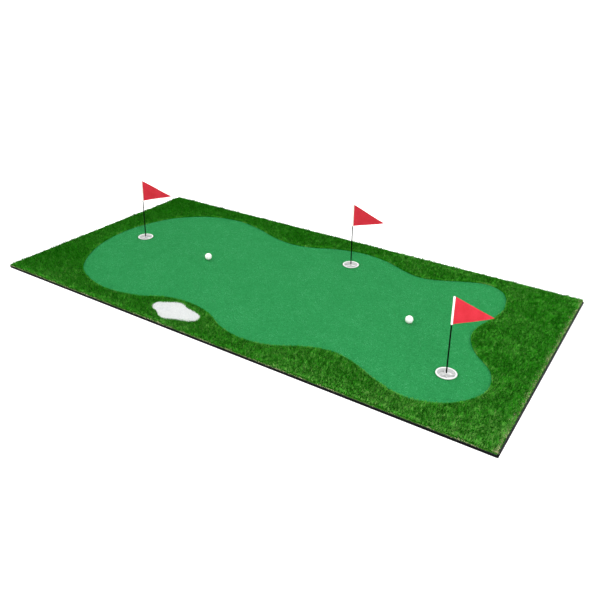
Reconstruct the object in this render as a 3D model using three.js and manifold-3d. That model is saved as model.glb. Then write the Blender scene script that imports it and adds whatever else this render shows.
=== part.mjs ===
// Practice putting mat: a foam base, a long-pile fairway with an inlaid short-pile green and a white
// bunker, three cups with flagsticks, and two balls.
//
// Frame: millimetres, +X along the long side, +Y along the short side, +Z up. The origin is the centre
// of the foam's underside.

import * as THREE from 'three';
import { mergeVertices } from 'three/addons/utils/BufferGeometryUtils.js';
import Module from 'manifold-3d';

const wasm = await Module();
wasm.setup();

// ---- Driving dimensions ----

const MAT_LENGTH = 3048;
const MAT_WIDTH = 1524;
const LAYER_GAP = 0.3; // play between layers that rest on each other
const SEAM_GAP = 0.4; // play between turfs that meet side by side

const FOAM_TOP = 12;
const BACKING_THICKNESS = 2;
const FAIRWAY_TOP = 34;
const GREEN_TOP = 22;
const BUNKER_TOP = 28;

const GREEN_STEPS = 150; // outline segments
const BUNKER_STEPS = 52;

const TAPE_THICKNESS = 0.5;
const TAPE_STEPS = 76; // outline segments of the green's tape
const GREEN_TAPE_HALF_WIDTH = 16;
const BUNKER_TAPE_HALF_WIDTH = 10;

const ROUND_STEPS = 40; // segments round a cup or its hole
const CUP_HOLE_RADIUS = 44.7;
const CUP_RIM_RADIUS = 50;
const CUP_RIM_THICKNESS = 1.8;
const CUP_MOUTH_RADIUS = 42;
const CUP_WALL = 2;
const CUP_DRAFT = 2.4; // how much narrower the cup is at its floor
const CUP_BOTTOM = 1;
const CUP_HUB_RADIUS = 8;
const CUP_HUB_RISE = 0.8; // hub above the rim
const CUP_WEB_THICKNESS = 2;
const CUP_WEB_TOP = 13;
const CUP_WEB_ANGLE = 35; // degrees, the first of four webs
const CUP_DRAIN_RADIUS = 4.5;
const CUP_DRAIN_RING = 25;

const POLE_RADIUS = 3.5;
const POLE_PLAY = 0.3; // radial play in the cup's socket and in the sleeve
const POLE_STEPS = 20;
const FLAGSTICK_TOP = 420;

const SLEEVE_LENGTH = 140;
const SLEEVE_RADIUS = 4.8;
const SLEEVE_END = 2.2; // closed top
const SLOT_MARGIN = 4; // slot ends short of both sleeve ends

const FLAG_LENGTH = 186; // hoist to tip
const FLAG_THICKNESS = 1;
const FLAG_DROOP = 40; // tip below the middle of the hoist

const BALL_RADIUS = 21.335;
const BALL_DETAIL = 4; // how often each edge of the icosahedron is divided

// Where each cup stands, and how its flag is turned about the pole, in degrees.
const HOLES = [
  { side: 'left', x: -1155, y: 28, flagTurn: 36 },
  { side: 'middle', x: 212, y: 428, flagTurn: 24 },
  { side: 'right', x: 1150, y: -358, flagTurn: 33 },
];

const BALLS = [
  { name: 'ball_1', x: 815, y: -33 },
  { name: 'ball_2', x: -563, y: -17 },
];

// Points on the green's edge, anticlockwise from its left end: the broad left lobe, the near waists
// and lobes, the right end with its dent, then back along the far side.
const GREEN_EDGE = [
  [-1346, 0], [-1297, -270], [-1110, -545], [-830, -648], [-600, -620], [-430, -535], [-280, -515],
  [-130, -540], [30, -620], [180, -648], [330, -622], [500, -528], [620, -496], [745, -520],
  [930, -600], [1080, -632], [1250, -560], [1350, -400], [1320, -240], [1195, -105], [1135, 10],
  [1128, 110], [1172, 290], [1182, 410], [1120, 590], [1010, 642], [900, 610], [760, 540],
  [650, 506], [540, 530], [380, 597], [200, 623], [20, 585], [-130, 515], [-250, 490], [-400, 508],
  [-620, 585], [-830, 620], [-1050, 560], [-1235, 395], [-1325, 170],
];

// Points on the bunker's edge, anticlockwise from its left end.
const BUNKER_EDGE = [
  [-432, -630], [-410, -668], [-362, -686], [-320, -714], [-276, -722], [-232, -702], [-188, -686],
  [-146, -672], [-117, -640], [-130, -600], [-175, -582], [-222, -573], [-252, -568], [-290, -548],
  [-335, -552], [-385, -584], [-418, -602],
];

// ---- Materials ----

function material(hex, roughness, metalness = 0) {
  return new THREE.MeshStandardMaterial({ color: new THREE.Color(hex), roughness, metalness });
}

const MATERIALS = {
  foam: material('#17181a', 0.95),
  backing: material('#1d1e20', 0.85),
  tape: material('#2a2b2c', 0.8),
  fairway: material('#35711f', 0.9),
  green: material('#2f9a54', 0.9),
  bunker: material('#e7e7ea', 0.9),
  cup: material('#f1f2ee', 0.35),
  pole: material('#0e0f10', 0.4),
  sleeve: material('#f2f1ec', 0.45),
  flag: material('#e63a48', 0.75),
  ball: material('#f4f4f1', 0.25),
};

// ---- Solids and booleans ----

function toSolid(geometry) {
  const bare = geometry.index ? geometry.toNonIndexed() : geometry.clone();
  bare.deleteAttribute('normal');
  bare.deleteAttribute('uv');
  const merged = mergeVertices(bare, 1e-4);
  return new wasm.Manifold(new wasm.Mesh({
    numProp: 3,
    vertProperties: new Float32Array(merged.attributes.position.array),
    triVerts: new Uint32Array(merged.index.array),
  }));
}

function toGeometry(solid) {
  const mesh = solid.getMesh();
  const geometry = new THREE.BufferGeometry();
  geometry.setAttribute('position', new THREE.BufferAttribute(mesh.vertProperties, 3));
  geometry.setIndex(new THREE.BufferAttribute(mesh.triVerts, 1));
  geometry.computeVertexNormals();
  return geometry;
}

function piece(name, geometry, look, x = 0, y = 0) {
  const mesh = new THREE.Mesh(geometry, look);
  mesh.name = name;
  mesh.position.set(x, y, 0);
  return mesh;
}

// ---- Outlines ----

// A smooth closed outline through the given points.
function smoothOutline(edge, steps) {
  const through = edge.map(([x, y]) => new THREE.Vector3(x, y, 0));
  const curve = new THREE.CatmullRomCurve3(through, true, 'centripetal');
  return curve.getSpacedPoints(steps).slice(0, steps).map((p) => new THREE.Vector2(p.x, p.y));
}

// The outline moved outwards along its own normals (inwards when the distance is negative).
function grown(outline, distance) {
  const count = outline.length;
  return outline.map((point, i) => {
    const before = outline[(i + count - 1) % count];
    const after = outline[(i + 1) % count];
    const along = after.clone().sub(before).normalize();
    return new THREE.Vector2(point.x + along.y * distance, point.y - along.x * distance);
  });
}

function circle(x, y, radius) {
  return Array.from({ length: ROUND_STEPS }, (_, i) => {
    const turn = (2 * Math.PI * i) / ROUND_STEPS;
    return new THREE.Vector2(x + radius * Math.cos(turn), y + radius * Math.sin(turn));
  });
}

function rectangle(length, width) {
  return [[-1, -1], [1, -1], [1, 1], [-1, 1]].map(
    ([sx, sy]) => new THREE.Vector2((sx * length) / 2, (sy * width) / 2),
  );
}

// A flat plate between two heights, with the given openings through it.
function plate(outline, openings, bottom, top) {
  const shape = new THREE.Shape(outline);
  shape.holes = openings.map((opening) => new THREE.Path(opening));
  const geometry = new THREE.ExtrudeGeometry(shape, { depth: top - bottom, bevelEnabled: false });
  return geometry.translate(0, 0, bottom);
}

const matOutline = rectangle(MAT_LENGTH, MAT_WIDTH);
const greenOutline = smoothOutline(GREEN_EDGE, GREEN_STEPS);
const greenTapeOutline = smoothOutline(GREEN_EDGE, TAPE_STEPS);
const bunkerOutline = smoothOutline(BUNKER_EDGE, BUNKER_STEPS);
const cupHoles = HOLES.map((hole) => circle(hole.x, hole.y, CUP_HOLE_RADIUS));

// ---- Mat layers ----

function seamBand(outline, halfWidth, extra, bottom, top) {
  return plate(grown(outline, halfWidth + extra), [grown(outline, -halfWidth - extra)], bottom, top);
}

// The foam sheet, with a shallow groove that each seam tape lies in.
function foamBase() {
  const grooveBottom = FOAM_TOP - TAPE_THICKNESS - 2 * LAYER_GAP;
  const above = FOAM_TOP + 1;
  let foam = toSolid(plate(matOutline, cupHoles, 0, FOAM_TOP));
  foam = foam.subtract(toSolid(
    seamBand(greenTapeOutline, GREEN_TAPE_HALF_WIDTH, LAYER_GAP, grooveBottom, above)));
  foam = foam.subtract(toSolid(
    seamBand(bunkerOutline, BUNKER_TAPE_HALF_WIDTH, LAYER_GAP, grooveBottom, above)));
  return toGeometry(foam);
}

function matLayers() {
  const tapeTop = FOAM_TOP - LAYER_GAP;
  const tapeBottom = tapeTop - TAPE_THICKNESS;
  const backingBottom = FOAM_TOP + LAYER_GAP;
  const backingTop = backingBottom + BACKING_THICKNESS;
  const pileBottom = backingTop + LAYER_GAP;
  const fairwayOpenings = [grown(greenOutline, SEAM_GAP), grown(bunkerOutline, SEAM_GAP)];
  return [
    piece('foam_base', foamBase(), MATERIALS.foam),
    piece('green_seam_tape',
      seamBand(greenTapeOutline, GREEN_TAPE_HALF_WIDTH, 0, tapeBottom, tapeTop), MATERIALS.tape),
    piece('bunker_seam_tape',
      seamBand(bunkerOutline, BUNKER_TAPE_HALF_WIDTH, 0, tapeBottom, tapeTop), MATERIALS.tape),
    piece('fairway_backing',
      plate(matOutline, fairwayOpenings, backingBottom, backingTop), MATERIALS.backing),
    piece('green_backing',
      plate(greenOutline, cupHoles, backingBottom, backingTop), MATERIALS.backing),
    piece('bunker_backing',
      plate(bunkerOutline, [], backingBottom, backingTop), MATERIALS.backing),
    piece('fairway_pile',
      plate(matOutline, fairwayOpenings, pileBottom, FAIRWAY_TOP), MATERIALS.fairway),
    piece('green_pile', plate(greenOutline, cupHoles, pileBottom, GREEN_TOP), MATERIALS.green),
    piece('bunker_pile', plate(bunkerOutline, [], pileBottom, BUNKER_TOP), MATERIALS.bunker),
  ];
}

// ---- Cup ----

const RIM_BOTTOM = GREEN_TOP + LAYER_GAP;
const RIM_TOP = RIM_BOTTOM + CUP_RIM_THICKNESS;
const HUB_TOP = RIM_TOP + CUP_HUB_RISE;
const CUP_FLOOR = CUP_BOTTOM + CUP_WALL;
const SOCKET_RADIUS = POLE_RADIUS + POLE_PLAY;
const SOCKET_BOTTOM = CUP_FLOOR + 1;

// A shallow dish with a flat rim that rests on the green, a hub with a blind socket for the pole,
// four webs between hub and wall, and a drain hole in each quarter of the floor.
function cupGeometry() {
  const floorRadius = CUP_MOUTH_RADIUS - CUP_DRAFT;
  const profile = [
    [0, CUP_BOTTOM], [floorRadius + CUP_WALL - 1, CUP_BOTTOM], [floorRadius + CUP_WALL, CUP_BOTTOM + 1],
    [CUP_MOUTH_RADIUS + CUP_WALL, RIM_BOTTOM], [CUP_RIM_RADIUS - 0.2, RIM_BOTTOM],
    [CUP_RIM_RADIUS, RIM_BOTTOM + 0.6], [CUP_RIM_RADIUS - 0.8, RIM_TOP - 0.2],
    [CUP_RIM_RADIUS - 1.6, RIM_TOP], [CUP_MOUTH_RADIUS + 0.6, RIM_TOP],
    [CUP_MOUTH_RADIUS, RIM_TOP - 0.6], [floorRadius, CUP_FLOOR], [CUP_HUB_RADIUS, CUP_FLOOR],
    [CUP_HUB_RADIUS - 1, HUB_TOP - 0.6], [CUP_HUB_RADIUS - 1.6, HUB_TOP],
    [SOCKET_RADIUS + 0.5, HUB_TOP], [SOCKET_RADIUS, HUB_TOP - 0.5], [SOCKET_RADIUS, SOCKET_BOTTOM],
    [0, SOCKET_BOTTOM],
  ].map(([radius, z]) => new THREE.Vector2(radius, z));
  const dish = new THREE.LatheGeometry(profile, ROUND_STEPS).rotateX(Math.PI / 2);
  let cup = toSolid(dish);

  const webInner = CUP_HUB_RADIUS - 2;
  const webOuter = floorRadius + 0.8;
  for (let quarter = 0; quarter < 4; quarter += 1) {
    const web = new THREE.BoxGeometry(
      webOuter - webInner, CUP_WEB_THICKNESS, CUP_WEB_TOP - CUP_BOTTOM - 1);
    web.translate((webInner + webOuter) / 2, 0, (CUP_WEB_TOP + CUP_BOTTOM + 1) / 2);
    web.rotateZ(THREE.MathUtils.degToRad(CUP_WEB_ANGLE + 90 * quarter));
    cup = cup.add(toSolid(web));

    const drain = new THREE.CylinderGeometry(CUP_DRAIN_RADIUS, CUP_DRAIN_RADIUS, 4, 16);
    drain.rotateX(Math.PI / 2);
    drain.translate(CUP_DRAIN_RING, 0, CUP_BOTTOM + CUP_WALL / 2);
    drain.rotateZ(THREE.MathUtils.degToRad(CUP_WEB_ANGLE + 45 + 90 * quarter));
    cup = cup.subtract(toSolid(drain));
  }
  return toGeometry(cup);
}

// ---- Flagstick ----

const SLEEVE_BOTTOM = FLAGSTICK_TOP - SLEEVE_LENGTH;

// A round rod with a small chamfer at both ends, from the socket's floor to the sleeve's closed end.
function poleGeometry() {
  const foot = SOCKET_BOTTOM + LAYER_GAP;
  const top = FLAGSTICK_TOP - SLEEVE_END - LAYER_GAP;
  const chamfer = 0.8;
  const profile = [
    [0, foot], [POLE_RADIUS - chamfer, foot], [POLE_RADIUS, foot + chamfer],
    [POLE_RADIUS, top - chamfer], [POLE_RADIUS - chamfer, top], [0, top],
  ].map(([radius, z]) => new THREE.Vector2(radius, z));
  return new THREE.LatheGeometry(profile, POLE_STEPS).rotateX(Math.PI / 2);
}

// A tube closed at the top, slotted along the side that holds the flag.
function sleeveGeometry() {
  const bore = POLE_RADIUS + POLE_PLAY;
  const profile = [
    [bore, SLEEVE_BOTTOM], [SLEEVE_RADIUS, SLEEVE_BOTTOM], [SLEEVE_RADIUS, FLAGSTICK_TOP - 1],
    [SLEEVE_RADIUS - 1, FLAGSTICK_TOP], [0, FLAGSTICK_TOP], [0, FLAGSTICK_TOP - SLEEVE_END],
    [bore, FLAGSTICK_TOP - SLEEVE_END], [bore, SLEEVE_BOTTOM],
  ].map(([radius, z]) => new THREE.Vector2(radius, z));
  const tube = new THREE.LatheGeometry(profile, POLE_STEPS).rotateX(Math.PI / 2);
  const slotLength = SLEEVE_LENGTH - 2 * SLOT_MARGIN;
  const slot = new THREE.BoxGeometry(4, FLAG_THICKNESS + 2 * LAYER_GAP, slotLength);
  slot.translate(bore + 1, 0, SLEEVE_BOTTOM + SLEEVE_LENGTH / 2);
  return toGeometry(toSolid(tube).subtract(toSolid(slot)));
}

// A three-cornered pennant with a tab along its hoist that sits in the sleeve's slot.
function flagGeometry() {
  const middle = SLEEVE_BOTTOM + SLEEVE_LENGTH / 2;
  const tabHalf = SLEEVE_LENGTH / 2 - SLOT_MARGIN - 2 * LAYER_GAP;
  const hoistHalf = SLEEVE_LENGTH / 2 - 1;
  const tabEdge = POLE_RADIUS + POLE_PLAY + LAYER_GAP;
  const hoist = SLEEVE_RADIUS + LAYER_GAP;
  const tip = SLEEVE_RADIUS + FLAG_LENGTH;
  const outline = [
    [tabEdge, middle - tabHalf], [hoist, middle - tabHalf], [hoist, middle - hoistHalf],
    [tip - 1, middle - FLAG_DROOP - 2], [tip, middle - FLAG_DROOP], [tip - 1, middle - FLAG_DROOP + 2],
    [hoist, middle + hoistHalf], [hoist, middle + tabHalf], [tabEdge, middle + tabHalf],
  ].map(([x, z]) => new THREE.Vector2(x, z));
  const cloth = new THREE.ExtrudeGeometry(new THREE.Shape(outline), {
    depth: FLAG_THICKNESS,
    bevelEnabled: false,
  });
  return cloth.translate(0, 0, -FLAG_THICKNESS / 2).rotateX(Math.PI / 2);
}

// ---- Assembly ----

function cupAndFlagstick(hole) {
  const { side, x, y, flagTurn } = hole;
  const group = new THREE.Group();
  group.position.set(x, y, 0);
  const turned = new THREE.Group();
  turned.rotation.z = THREE.MathUtils.degToRad(flagTurn);
  turned.add(
    piece(`flag_sleeve_${side}`, sleeveGeometry(), MATERIALS.sleeve),
    piece(`flag_${side}`, flagGeometry(), MATERIALS.flag),
  );
  group.add(
    piece(`cup_${side}`, cupGeometry(), MATERIALS.cup),
    piece(`pole_${side}`, poleGeometry(), MATERIALS.pole),
    turned,
  );
  return group;
}

function ball({ name, x, y }) {
  const geometry = new THREE.IcosahedronGeometry(BALL_RADIUS, BALL_DETAIL);
  geometry.translate(0, 0, GREEN_TOP + LAYER_GAP + BALL_RADIUS);
  return piece(name, geometry, MATERIALS.ball, x, y);
}

const puttingMat = new THREE.Group();
puttingMat.add(...matLayers(), ...HOLES.map(cupAndFlagstick), ...BALLS.map(ball));

export default puttingMat;
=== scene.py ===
import itertools
import math

import bmesh
import bpy
import numpy as np
from mathutils import Matrix, Vector
from mathutils.geometry import delaunay_2d_cdt


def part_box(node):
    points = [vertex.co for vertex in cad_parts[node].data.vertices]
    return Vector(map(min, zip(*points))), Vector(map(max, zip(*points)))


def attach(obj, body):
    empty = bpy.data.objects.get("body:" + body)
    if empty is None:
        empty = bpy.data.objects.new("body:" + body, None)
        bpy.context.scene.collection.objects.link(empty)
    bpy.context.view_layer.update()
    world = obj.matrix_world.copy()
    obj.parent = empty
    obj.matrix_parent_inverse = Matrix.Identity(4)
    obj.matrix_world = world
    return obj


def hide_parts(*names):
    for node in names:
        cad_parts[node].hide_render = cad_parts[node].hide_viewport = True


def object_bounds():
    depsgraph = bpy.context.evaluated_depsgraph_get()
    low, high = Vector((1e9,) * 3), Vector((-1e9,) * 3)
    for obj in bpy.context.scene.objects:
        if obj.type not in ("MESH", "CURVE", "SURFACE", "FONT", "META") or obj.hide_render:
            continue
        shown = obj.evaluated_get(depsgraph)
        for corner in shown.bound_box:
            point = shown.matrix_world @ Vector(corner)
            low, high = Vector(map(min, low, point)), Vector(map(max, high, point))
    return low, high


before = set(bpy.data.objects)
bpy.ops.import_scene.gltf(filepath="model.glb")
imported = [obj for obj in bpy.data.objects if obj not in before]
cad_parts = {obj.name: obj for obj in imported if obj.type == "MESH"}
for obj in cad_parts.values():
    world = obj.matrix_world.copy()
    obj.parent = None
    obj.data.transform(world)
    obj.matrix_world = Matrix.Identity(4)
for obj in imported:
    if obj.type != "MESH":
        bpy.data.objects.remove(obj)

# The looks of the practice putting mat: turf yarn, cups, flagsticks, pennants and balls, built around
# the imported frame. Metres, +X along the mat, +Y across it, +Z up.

MM = 0.001
SIDES = ("left", "middle", "right")
CAD_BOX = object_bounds()

# ---- Heights and places, all from the frame ----

PILE_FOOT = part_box("fairway_pile")[0].z
GREEN_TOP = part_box("green_pile")[1].z
BUNKER_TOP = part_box("bunker_pile")[1].z


def middle(node):
    low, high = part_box(node)
    return (low + high) / 2


def half_width(node):
    low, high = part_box(node)
    return (high.x - low.x) / 2


CUP_CENTRES = {side: middle(f"cup_{side}") for side in SIDES}
CUP_RIM_RADIUS = half_width("cup_left")


def placed(name, data):
    """A new object in the scene."""
    made = bpy.data.objects.new(name, data)
    bpy.context.scene.collection.objects.link(made)
    return made


# ---- Camera ----

CAMERA_PLACE = (2.0071, -2.9567, 1.8058)
CAMERA_AZIMUTH = math.radians(-33.182)
CAMERA_ELEVATION = math.radians(21.671)
CAMERA_ROLL = math.radians(-0.587)
CAMERA_LENS = 41.215
CAMERA_SHIFT = -0.1203


def make_camera():
    data = bpy.data.cameras.new("camera")
    data.lens = CAMERA_LENS
    data.sensor_width = 36
    data.shift_y = CAMERA_SHIFT
    data.clip_end = 50
    camera = placed("camera", data)
    camera.matrix_world = (
        Matrix.Translation(CAMERA_PLACE) @ Matrix.Rotation(-CAMERA_AZIMUTH, 4, "Z")
        @ Matrix.Rotation(math.radians(90) - CAMERA_ELEVATION, 4, "X")
        @ Matrix.Rotation(-CAMERA_ROLL, 4, "Z"))
    bpy.context.scene.camera = camera


make_camera()

# ---- Small helpers ----


def linear(hexed):
    """A #rrggbb colour as the linear RGBA that shaders take."""
    parts = [int(hexed[i:i + 2], 16) / 255 for i in (1, 3, 5)]
    return tuple(((c + 0.055) / 1.055) ** 2.4 if c > 0.04045 else c / 12.92 for c in parts) + (1,)


def make_object(name, points, quads=(), triangles=(), uv=None, layer="OFBake", smooth=True):
    """A mesh object from points, quads and triangles, with one UV pair per point."""
    quads = np.asarray(quads, np.int32).reshape(-1, 4)
    triangles = np.asarray(triangles, np.int32).reshape(-1, 3)
    corners = np.concatenate([quads.ravel(), triangles.ravel()])
    sizes = np.repeat(np.array([4, 3], np.int32), [len(quads), len(triangles)])
    starts = (np.cumsum(sizes) - sizes).astype(np.int32)
    mesh = bpy.data.meshes.new(name)
    mesh.vertices.add(len(points))
    mesh.vertices.foreach_set("co", np.asarray(points, np.float32).ravel())
    mesh.loops.add(len(corners))
    mesh.loops.foreach_set("vertex_index", corners)
    mesh.polygons.add(len(sizes))
    mesh.polygons.foreach_set("loop_start", starts)
    mesh.polygons.foreach_set("use_smooth", np.full(len(sizes), smooth))
    mesh.update(calc_edges=True)
    if uv is not None:
        uvs = np.asarray(uv, np.float32)[corners]
        mesh.uv_layers.new(name=layer).data.foreach_set("uv", uvs.ravel())
    return placed(name, mesh)


def finished(piece, look, body, slot, *nodes):
    """Gives a piece its material and its body, and hides the CAD nodes it stands for. slot is not used.
    """
    piece.data.materials.clear()
    piece.data.materials.append(look)
    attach(piece, body)
    if nodes:
        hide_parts(*nodes)
    return piece


def with_modifiers(piece):
    """The piece with its modifiers applied to its mesh."""
    evaluated = piece.evaluated_get(bpy.context.evaluated_depsgraph_get())
    mesh = bpy.data.meshes.new_from_object(evaluated)
    piece.modifiers.clear()
    old = piece.data
    piece.data = mesh
    bpy.data.meshes.remove(old)


# ---- Materials ----


class Look:
    """A Principled material with short ways to add and join nodes."""

    def __init__(self, name, **settings):
        self.material = bpy.data.materials.new(name)
        self.material.use_nodes = True
        self.tree = self.material.node_tree
        self.shader = self.tree.nodes["Principled BSDF"]
        for key, value in settings.items():
            self.shader.inputs[key.replace("_", " ")].default_value = value

    def node(self, kind, inputs=None, **settings):
        made = self.tree.nodes.new(kind)
        for key, value in settings.items():
            setattr(made, key, value)
        for key, value in (inputs or {}).items():
            if isinstance(value, bpy.types.NodeSocket):
                self.tree.links.new(value, made.inputs[key])
            else:
                made.inputs[key].default_value = value
        return made

    def math(self, operation, first, second=0.0):
        return self.node("ShaderNodeMath", {0: first, 1: second}, operation=operation).outputs[0]

    def place(self):
        return self.node("ShaderNodeTexCoord").outputs["Object"]

    def uv(self, name="OFBake"):
        return self.node("ShaderNodeUVMap", uv_map=name).outputs[0]

    def parts(self, vector):
        return self.node("ShaderNodeSeparateXYZ", {0: vector}).outputs

    def noise(self, scale, detail=3.0, roughness=0.5, vector=None):
        inputs = {"Scale": scale, "Detail": detail, "Roughness": roughness}
        inputs["Vector"] = vector or self.place()
        return self.node("ShaderNodeTexNoise", inputs).outputs["Fac"]

    def cells(self, scale):
        inputs = {"Scale": scale, "Vector": self.place()}
        return self.node("ShaderNodeTexVoronoi", inputs).outputs["Distance"]

    def ramp(self, factor, stops):
        made = self.node("ShaderNodeValToRGB", {"Fac": factor})
        elements = made.color_ramp.elements
        while len(elements) < len(stops):
            elements.new(0.5)
        for element, (place, colour) in zip(elements, stops):
            element.position = place
            element.color = linear(colour) if isinstance(colour, str) else (colour,) * 3 + (1,)
        return made.outputs["Color"]

    def times(self, first, second, share=1.0):
        """The first colour multiplied by the second, or a share of the way there."""
        inputs = {0: share, 6: first, 7: second}
        return self.node("ShaderNodeMix", inputs, data_type="RGBA", blend_type="MULTIPLY").outputs[2]

    def drive(self, socket, value):
        self.tree.links.new(value, self.shader.inputs[socket])

    def colour(self, factor, stops):
        self.drive("Base Color", self.ramp(factor, stops))

    def roughness(self, factor, stops):
        self.drive("Roughness", self.ramp(factor, stops))

    def bump(self, height, strength, distance):
        inputs = {"Height": height, "Strength": strength, "Distance": distance}
        self.drive("Normal", self.node("ShaderNodeBump", inputs).outputs[0])


TONES = 32  # columns of the yarn map, one for each shade of yarn


def yarn_look(name, tones, heights, roughness):
    """Yarn whose map has one column in U for each shade, as wide as a blade, and runs up it in V."""
    look = Look(name, Specular_IOR_Level=0.01)
    across, up, _ = look.parts(look.uv())
    columns = look.math("MULTIPLY", across, float(TONES))
    tone = look.math("DIVIDE", look.math("FLOOR", columns), float(TONES - 1))
    in_column = look.math("FRACT", columns)
    off_vein = look.math("ABSOLUTE", look.math("SUBTRACT", in_column, 0.5))
    # The ramp up each blade is painted shade: darker towards the foot, where the pile shades it.
    shade = look.times(look.ramp(tone, tones), look.ramp(up, heights))
    vein = look.ramp(off_vein, [(0.0, 0.86), (0.12, 1.0)])
    look.drive("Base Color", look.times(shade, vein))
    look.roughness(off_vein, [(0.0, roughness + 0.12), (0.2, roughness)])
    look.bump(off_vein, 0.4, 0.0004)
    return look.material


def ground_look(name, stops, scale):
    """The tangled yarn at the foot of a pile."""
    look = Look(name, Specular_IOR_Level=0.01)
    look.colour(look.noise(scale, 6.0, 0.65), stops)
    fine = look.noise(scale * 2.5, 4.0, 0.6)
    look.roughness(fine, [(0.3, 0.8), (0.7, 0.95)])
    look.bump(fine, 0.9, 0.002)
    return look.material


def foam_look():
    look = Look("foam_skin", Specular_IOR_Level=0.04)
    cells = look.cells(650.0)
    patches = look.noise(9.0, 4.0)
    tint = look.ramp(patches, [(0.3, "#0b0b0c"), (0.7, "#131314")])
    specks = look.ramp(cells, [(0.0, 0.55), (0.35, 1.0)])
    look.drive("Base Color", look.times(tint, specks))
    look.roughness(patches, [(0.3, 0.86), (0.7, 0.97)])
    look.bump(cells, 0.6, 0.0006)
    return look.material


def backing_look():
    look = Look("coated_backing", Specular_IOR_Level=0.3)
    weave = look.node("ShaderNodeTexBrick", {
        "Scale": 260.0, "Color1": (1, 1, 1, 1), "Color2": (0.75, 0.75, 0.75, 1),
        "Mortar": (0.25, 0.25, 0.25, 1), "Vector": look.place(),
    }).outputs["Color"]
    patches = look.noise(14.0, 5.0)
    tint = look.ramp(patches, [(0.3, "#17181a"), (0.75, "#292a2a")])
    look.drive("Base Color", look.times(tint, weave, 0.5))
    look.roughness(patches, [(0.3, 0.7), (0.7, 0.92)])
    look.bump(weave, 0.5, 0.0004)
    return look.material


def tape_look():
    """Joining tape: a fine woven scrim under a smooth, slightly glossy adhesive."""
    look = Look("seam_tape", Specular_IOR_Level=0.4)
    scrim = look.cells(420.0)
    smears = look.noise(30.0, 4.0)
    look.colour(smears, [(0.3, "#1c1b1a"), (0.7, "#34322f")])
    look.roughness(smears, [(0.3, 0.3), (0.7, 0.6)])
    look.bump(scrim, 0.3, 0.0003)
    return look.material


def plastic_look(name, light, dark, painted_wall_shade=1.0):
    """Moulded plastic with faint flow marks and handling wear, its upright walls darkened by a factor
    as painted shade.
    """
    look = Look(name, Specular_IOR_Level=0.3)
    tint = look.ramp(look.noise(38.0, 5.0, 0.6), [(0.25, dark), (0.6, light)])
    # Painted shade: upright faces, such as a cup's walls, are made darker by the factor given, for the
    # shade inside the cup.
    level = look.math("ABSOLUTE", look.parts(look.node("ShaderNodeTexCoord").outputs["Normal"])[2])
    look.drive("Base Color", look.times(tint, look.ramp(level, [(0.3, painted_wall_shade), (0.75, 1.0)])))
    look.roughness(look.noise(160.0, 3.0), [(0.3, 0.35), (0.75, 0.5)])
    look.bump(look.noise(900.0, 2.0), 0.12, 0.0002)
    return look.material


def rod_look():
    """A black rod with fine lengthwise drawing marks."""
    look = Look("black_rod", Specular_IOR_Level=0.04)
    stretched = look.node("ShaderNodeMapping", {"Vector": look.place(), "Scale": (1.0, 1.0, 0.03)})
    marks = look.noise(1500.0, 3.0, 0.6, stretched.outputs[0])
    look.colour(marks, [(0.3, "#010101"), (0.7, "#040404")])
    look.roughness(marks, [(0.3, 0.42), (0.7, 0.58)])
    look.bump(marks, 0.25, 0.0002)
    return look.material


RIB = 0.9 * MM  # from one rib of the flag's cloth to the next


def flag_look():
    """Plain-woven red nylon: warp and weft ribs in the cloth's own metres."""
    look = Look("flag_cloth", Specular_IOR_Level=0.2, Sheen_Weight=0.08, Sheen_Roughness=0.4)
    along, up, _ = look.parts(look.uv("cloth"))
    warp, weft = (look.math("SINE", look.math("MULTIPLY", way, math.tau / RIB)) for way in (along, up))
    weave = look.math("MULTIPLY", warp, weft)
    patches = look.noise(22.0, 4.0)
    tint = look.ramp(patches, [(0.25, "#c41f2e"), (0.75, "#d22f40")])
    ribs = look.ramp(look.math("MULTIPLY_ADD", weave, 0.5), [(0.0, 0.86), (0.6, 1.0)])
    look.drive("Base Color", look.times(tint, ribs))
    look.roughness(patches, [(0.3, 0.6), (0.7, 0.8)])
    look.bump(weave, 0.35, 0.0002)
    return look.material


def thread_look():
    look = Look("flag_thread", Roughness=0.6)
    twist = look.noise(2500.0, 2.0)
    look.colour(twist, [(0.3, "#b3202f"), (0.7, "#e2495a")])
    look.bump(twist, 0.5, 0.0002)
    return look.material


def ball_look():
    look = Look("ball_cover", Coat_Weight=0.6, Coat_Roughness=0.08)
    scuffs = look.noise(120.0, 5.0, 0.65)
    look.colour(scuffs, [(0.2, "#e3e3de"), (0.5, "#f7f7f4")])
    look.roughness(scuffs, [(0.3, 0.22), (0.7, 0.36)])
    look.bump(scuffs, 0.08, 0.0002)
    return look.material


# The second list of each yarn is painted shade up the blade, darker at the foot; the fairway's last
# stop, above 1, is a painted highlight on the tips.
FAIRWAY_YARN = yarn_look(
    "fairway_yarn", [(0.0, "#187a06"), (0.35, "#2f9a18"), (0.7, "#5cb83f"), (1.0, "#8cc964")],
    [(0.0, 0.42), (0.3, 0.68), (0.65, 0.95), (0.9, 1.0), (1.0, 1.2)], 0.5)
THATCH_YARN = yarn_look(
    "thatch_yarn", [(0.0, "#64863c"), (0.5, "#a5a778"), (1.0, "#dfd2b0")],
    [(0.0, 0.6), (0.5, 1.0), (1.0, 1.0)], 0.65)
GREEN_YARN = yarn_look(
    "green_yarn", [(0.0, "#166033"), (0.22, "#2b8a4b"), (0.5, "#37a35c"), (1.0, "#66c58a")],
    [(0.0, 0.5), (0.5, 0.95), (1.0, 1.0)], 0.6)
BUNKER_YARN = yarn_look(
    "bunker_yarn", [(0.0, "#dfe3e3"), (0.5, "#f8faf8"), (1.0, "#ffffff")],
    [(0.0, 0.85), (0.5, 1.0), (1.0, 1.0)], 0.6)
FAIRWAY_GROUND = ground_look(
    "fairway_ground", [(0.3, "#0e4204"), (0.55, "#1b5c0b"), (0.8, "#436f26")], 110.0)
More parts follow.
